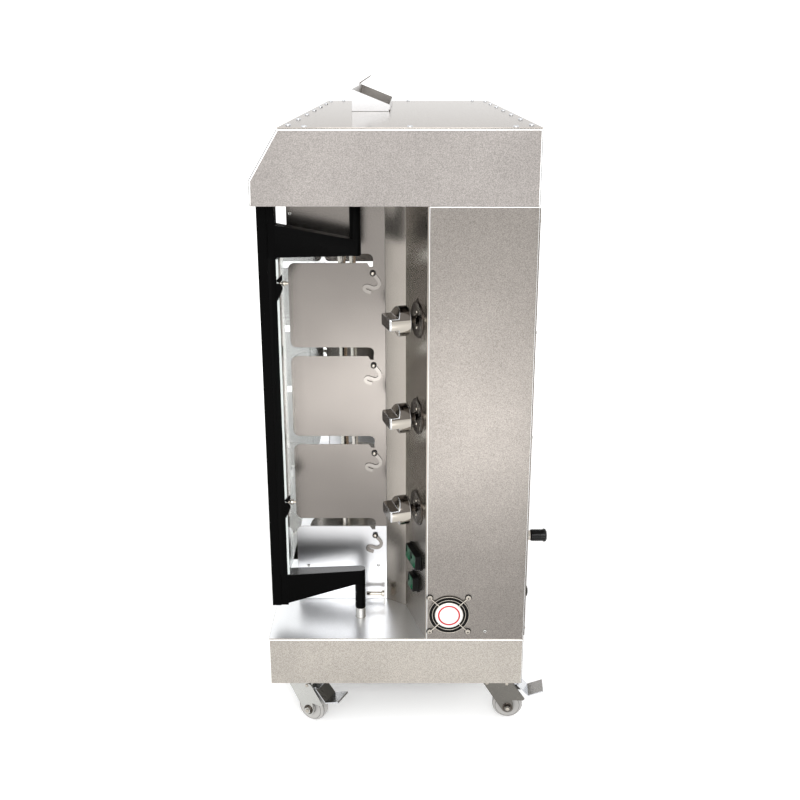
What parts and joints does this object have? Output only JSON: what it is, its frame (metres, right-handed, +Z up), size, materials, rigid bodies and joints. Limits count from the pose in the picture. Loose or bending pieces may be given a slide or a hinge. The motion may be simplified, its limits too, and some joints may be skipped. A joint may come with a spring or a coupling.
{
  "type": "vertical rotisserie broiler",
  "caption": "Stainless gas broiler on casters with upright spits, infrared burners, swing-out glass doors, side knobs, hood with flue collar and a drip drawer.",
  "frame": {"origin": "middle of the footprint, on the floor under the caster wheels", "axes": "-X is the front with the glass doors, +X the back with the gas inlet, -Y the right-hand side with the switches, +Z up"},
  "size_m": [0.5273, 1.0959, 1.2053],
  "materials": {
    "brushed_stainless": "fine straight grain, satin",
    "panel_stainless": "satin stainless on the slanted control panels",
    "polished_stainless": "bright polished",
    "black_powder_coat": "semi-gloss black powder coat",
    "door_glass": "clear toughened glass",
    "chrome_plate": "bright chrome plate",
    "zinc_plate": "bright zinc plate, slightly cloudy",
    "white_nylon": "natural white nylon",
    "black_plastic": "black moulded plastic",
    "green_rocker": "translucent dark green rocker",
    "burner_steel": "heat-tinted steel round a pale ceramic plaque",
    "motor_cast": "dark cast gearbox",
    "gas_brass": "plain brass pipe and valves"
  },
  "bodies": {
    "cabinet": {"base_skirt": "brushed_stainless", "base_deck": "polished_stainless", "under_frame": "zinc_plate", "control_panel_right": "panel_stainless", "control_panel_left": "panel_stainless", "side_panel_right": "brushed_stainless", "side_panel_left": "brushed_stainless", "back_panel": "brushed_stainless", "burner_wall": "polished_stainless", "side_shield_right": "brushed_stainless", "side_shield_left": "brushed_stainless", "burner_right_top": "burner_steel", "burner_right_middle": "burner_steel", "burner_right_bottom": "burner_steel", "burner_left_top": "burner_steel", "burner_left_middle": "burner_steel", "burner_left_bottom": "burner_steel", "spit_motor_right": "motor_cast", "spit_motor_left": "motor_cast", "gas_manifold": "gas_brass", "gas_inlet": "brushed_stainless", "gas_inlet_cap": "black_plastic", "cable_gland": "black_plastic", "switch_bezel_double": "black_plastic", "switch_bezel_single": "black_plastic", "fan_frame": "black_plastic", "fan_guard": "chrome_plate", "hood_shell": "brushed_stainless", "top_plate": "polished_stainless", "hood_floor": "brushed_stainless", "flue_collar": "polished_stainless"},
    "door_right": {"door_frame_right": "black_powder_coat", "door_glass_right": "door_glass"},
    "door_left": {"door_frame_left": "black_powder_coat", "door_glass_left": "door_glass"},
    "knob_right_top": {"knob_right_top": "chrome_plate"},
    "knob_right_middle": {"knob_right_middle": "chrome_plate"},
    "knob_right_bottom": {"knob_right_bottom": "chrome_plate"},
    "knob_left_top": {"knob_left_top": "chrome_plate"},
    "knob_left_middle": {"knob_left_middle": "chrome_plate"},
    "knob_left_bottom": {"knob_left_bottom": "chrome_plate"},
    "rocker_1": {"rocker_1": "green_rocker"},
    "rocker_2": {"rocker_2": "green_rocker"},
    "rocker_3": {"rocker_3": "green_rocker"},
    "fan_rotor": {"fan_rotor": "black_plastic"},
    "caster_fork_front_right": {"caster_fork_front_right": "zinc_plate"},
    "caster_wheel_front_right": {"caster_wheel_front_right": "white_nylon"},
    "caster_brake_front_right": {"caster_brake_front_right": "zinc_plate"},
    "caster_fork_back_right": {"caster_fork_back_right": "zinc_plate"},
    "caster_wheel_back_right": {"caster_wheel_back_right": "white_nylon"},
    "caster_brake_back_right": {"caster_brake_back_right": "zinc_plate"},
    "caster_fork_front_left": {"caster_fork_front_left": "zinc_plate"},
    "caster_wheel_front_left": {"caster_wheel_front_left": "white_nylon"},
    "caster_brake_front_left": {"caster_brake_front_left": "zinc_plate"},
    "caster_fork_back_left": {"caster_fork_back_left": "zinc_plate"},
    "caster_wheel_back_left": {"caster_wheel_back_left": "white_nylon"},
    "caster_brake_back_left": {"caster_brake_back_left": "zinc_plate"},
    "spit_right": {"spit_right": "polished_stainless"},
    "spit_left": {"spit_left": "polished_stainless"},
    "drip_drawer": {"drip_drawer": "brushed_stainless"}
  },
  "joints": [
    {"name": "door_right_hinge", "type": "hinge", "parent": "cabinet", "child": "door_right", "pos_m": [-0.0905, -0.4527, 0.6035], "axis": [0, 0, 1], "range_deg": [0, 100]},
    {"name": "door_left_hinge", "type": "hinge", "parent": "cabinet", "child": "door_left", "pos_m": [-0.0905, 0.4527, 0.6035], "axis": [0, 0, -1], "range_deg": [0, 100]},
    {"name": "knob_right_top_turn", "type": "hinge", "parent": "cabinet", "child": "knob_right_top", "pos_m": [0.01849, -0.48, 0.8035], "axis": [-0.9524, -0.3049, 0], "range_deg": [0, 180]},
    {"name": "knob_right_middle_turn", "type": "hinge", "parent": "cabinet", "child": "knob_right_middle", "pos_m": [0.01849, -0.48, 0.622], "axis": [-0.9524, -0.3049, 0], "range_deg": [0, 180]},
    {"name": "knob_right_bottom_turn", "type": "hinge", "parent": "cabinet", "child": "knob_right_bottom", "pos_m": [0.01849, -0.48, 0.4405], "axis": [-0.9524, -0.3049, 0], "range_deg": [0, 180]},
    {"name": "knob_left_top_turn", "type": "hinge", "parent": "cabinet", "child": "knob_left_top", "pos_m": [0.01849, 0.48, 0.8035], "axis": [-0.9524, 0.3049, 0], "range_deg": [0, 180]},
    {"name": "knob_left_middle_turn", "type": "hinge", "parent": "cabinet", "child": "knob_left_middle", "pos_m": [0.01849, 0.48, 0.622], "axis": [-0.9524, 0.3049, 0], "range_deg": [0, 180]},
    {"name": "knob_left_bottom_turn", "type": "hinge", "parent": "cabinet", "child": "knob_left_bottom", "pos_m": [0.01849, 0.48, 0.4405], "axis": [-0.9524, 0.3049, 0], "range_deg": [0, 180]},
    {"name": "rocker_1_tilt", "type": "hinge", "parent": "cabinet", "child": "rocker_1", "pos_m": [0.00581, -0.46663, 0.339], "axis": [0.3049, -0.9524, 0], "range_deg": [0, 16]},
    {"name": "rocker_2_tilt", "type": "hinge", "parent": "cabinet", "child": "rocker_2", "pos_m": [0.01465, -0.49425, 0.339], "axis": [0.3049, -0.9524, 0], "range_deg": [0, 16]},
    {"name": "rocker_3_tilt", "type": "hinge", "parent": "cabinet", "child": "rocker_3", "pos_m": [0.01023, -0.48044, 0.2855], "axis": [0.3049, -0.9524, 0], "range_deg": [0, 16]},
    {"name": "fan_spin", "type": "hinge", "parent": "cabinet", "child": "fan_rotor", "pos_m": [0.0785, -0.515, 0.2459], "axis": [0, 1, 0], "continuous": true},
    {"name": "caster_swivel_front_right", "type": "hinge", "parent": "cabinet", "child": "caster_fork_front_right", "pos_m": [-0.2005, -0.494, 0.088], "axis": [0, 0, 1], "continuous": true},
    {"name": "caster_roll_front_right", "type": "hinge", "parent": "caster_fork_front_right", "child": "caster_wheel_front_right", "pos_m": [-0.1824, -0.50362, 0.029], "axis": [0.4695, 0.8829, 0], "continuous": true},
    {"name": "caster_brake_front_right_press", "type": "hinge", "parent": "caster_fork_front_right", "child": "caster_brake_front_right", "pos_m": [-0.17666, -0.50668, 0.0779], "axis": [0.4695, 0.8829, 0], "range_deg": [0, 8]},
    {"name": "caster_swivel_back_right", "type": "hinge", "parent": "cabinet", "child": "caster_fork_back_right", "pos_m": [0.1765, -0.494, 0.088], "axis": [0, 0, 1], "continuous": true},
    {"name": "caster_roll_back_right", "type": "hinge", "parent": "caster_fork_back_right", "child": "caster_wheel_back_right", "pos_m": [0.19695, -0.49543, 0.029], "axis": [0.0698, 0.9976, 0], "continuous": true},
    {"name": "caster_brake_back_right_press", "type": "hinge", "parent": "caster_fork_back_right", "child": "caster_brake_back_right", "pos_m": [0.20343, -0.49588, 0.0779], "axis": [0.0698, 0.9976, 0], "range_deg": [0, 8]},
    {"name": "caster_swivel_front_left", "type": "hinge", "parent": "cabinet", "child": "caster_fork_front_left", "pos_m": [-0.2005, 0.494, 0.088], "axis": [0, 0, 1], "continuous": true},
    {"name": "caster_roll_front_left", "type": "hinge", "parent": "caster_fork_front_left", "child": "caster_wheel_front_left", "pos_m": [-0.18061, 0.49896, 0.029], "axis": [-0.2419, 0.9703, 0], "continuous": true},
    {"name": "caster_brake_front_left_press", "type": "hinge", "parent": "caster_fork_front_left", "child": "caster_brake_front_left", "pos_m": [-0.1743, 0.50053, 0.0779], "axis": [-0.2419, 0.9703, 0], "range_deg": [0, 8]},
    {"name": "caster_swivel_back_left", "type": "hinge", "parent": "cabinet", "child": "caster_fork_back_left", "pos_m": [0.1765, 0.494, 0.088], "axis": [0, 0, 1], "continuous": true},
    {"name": "caster_roll_back_left", "type": "hinge", "parent": "caster_fork_back_left", "child": "caster_wheel_back_left", "pos_m": [0.19551, 0.50168, 0.029], "axis": [-0.3746, 0.9272, 0], "continuous": true},
    {"name": "caster_brake_back_left_press", "type": "hinge", "parent": "caster_fork_back_left", "child": "caster_brake_back_left", "pos_m": [0.20153, 0.50411, 0.0779], "axis": [-0.3746, 0.9272, 0], "range_deg": [0, 8]},
    {"name": "spit_right_spin", "type": "hinge", "parent": "cabinet", "child": "spit_right", "pos_m": [-0.1325, -0.195, 0.5935], "axis": [0, 0, 1], "continuous": true},
    {"name": "spit_left_spin", "type": "hinge", "parent": "cabinet", "child": "spit_left", "pos_m": [-0.1325, 0.195, 0.5935], "axis": [0, 0, 1], "continuous": true},
    {"name": "drip_drawer_slide", "type": "slide", "parent": "cabinet", "child": "drip_drawer", "axis": [-1, 0, 0], "range_m": [0, 0.3]}
  ]
}
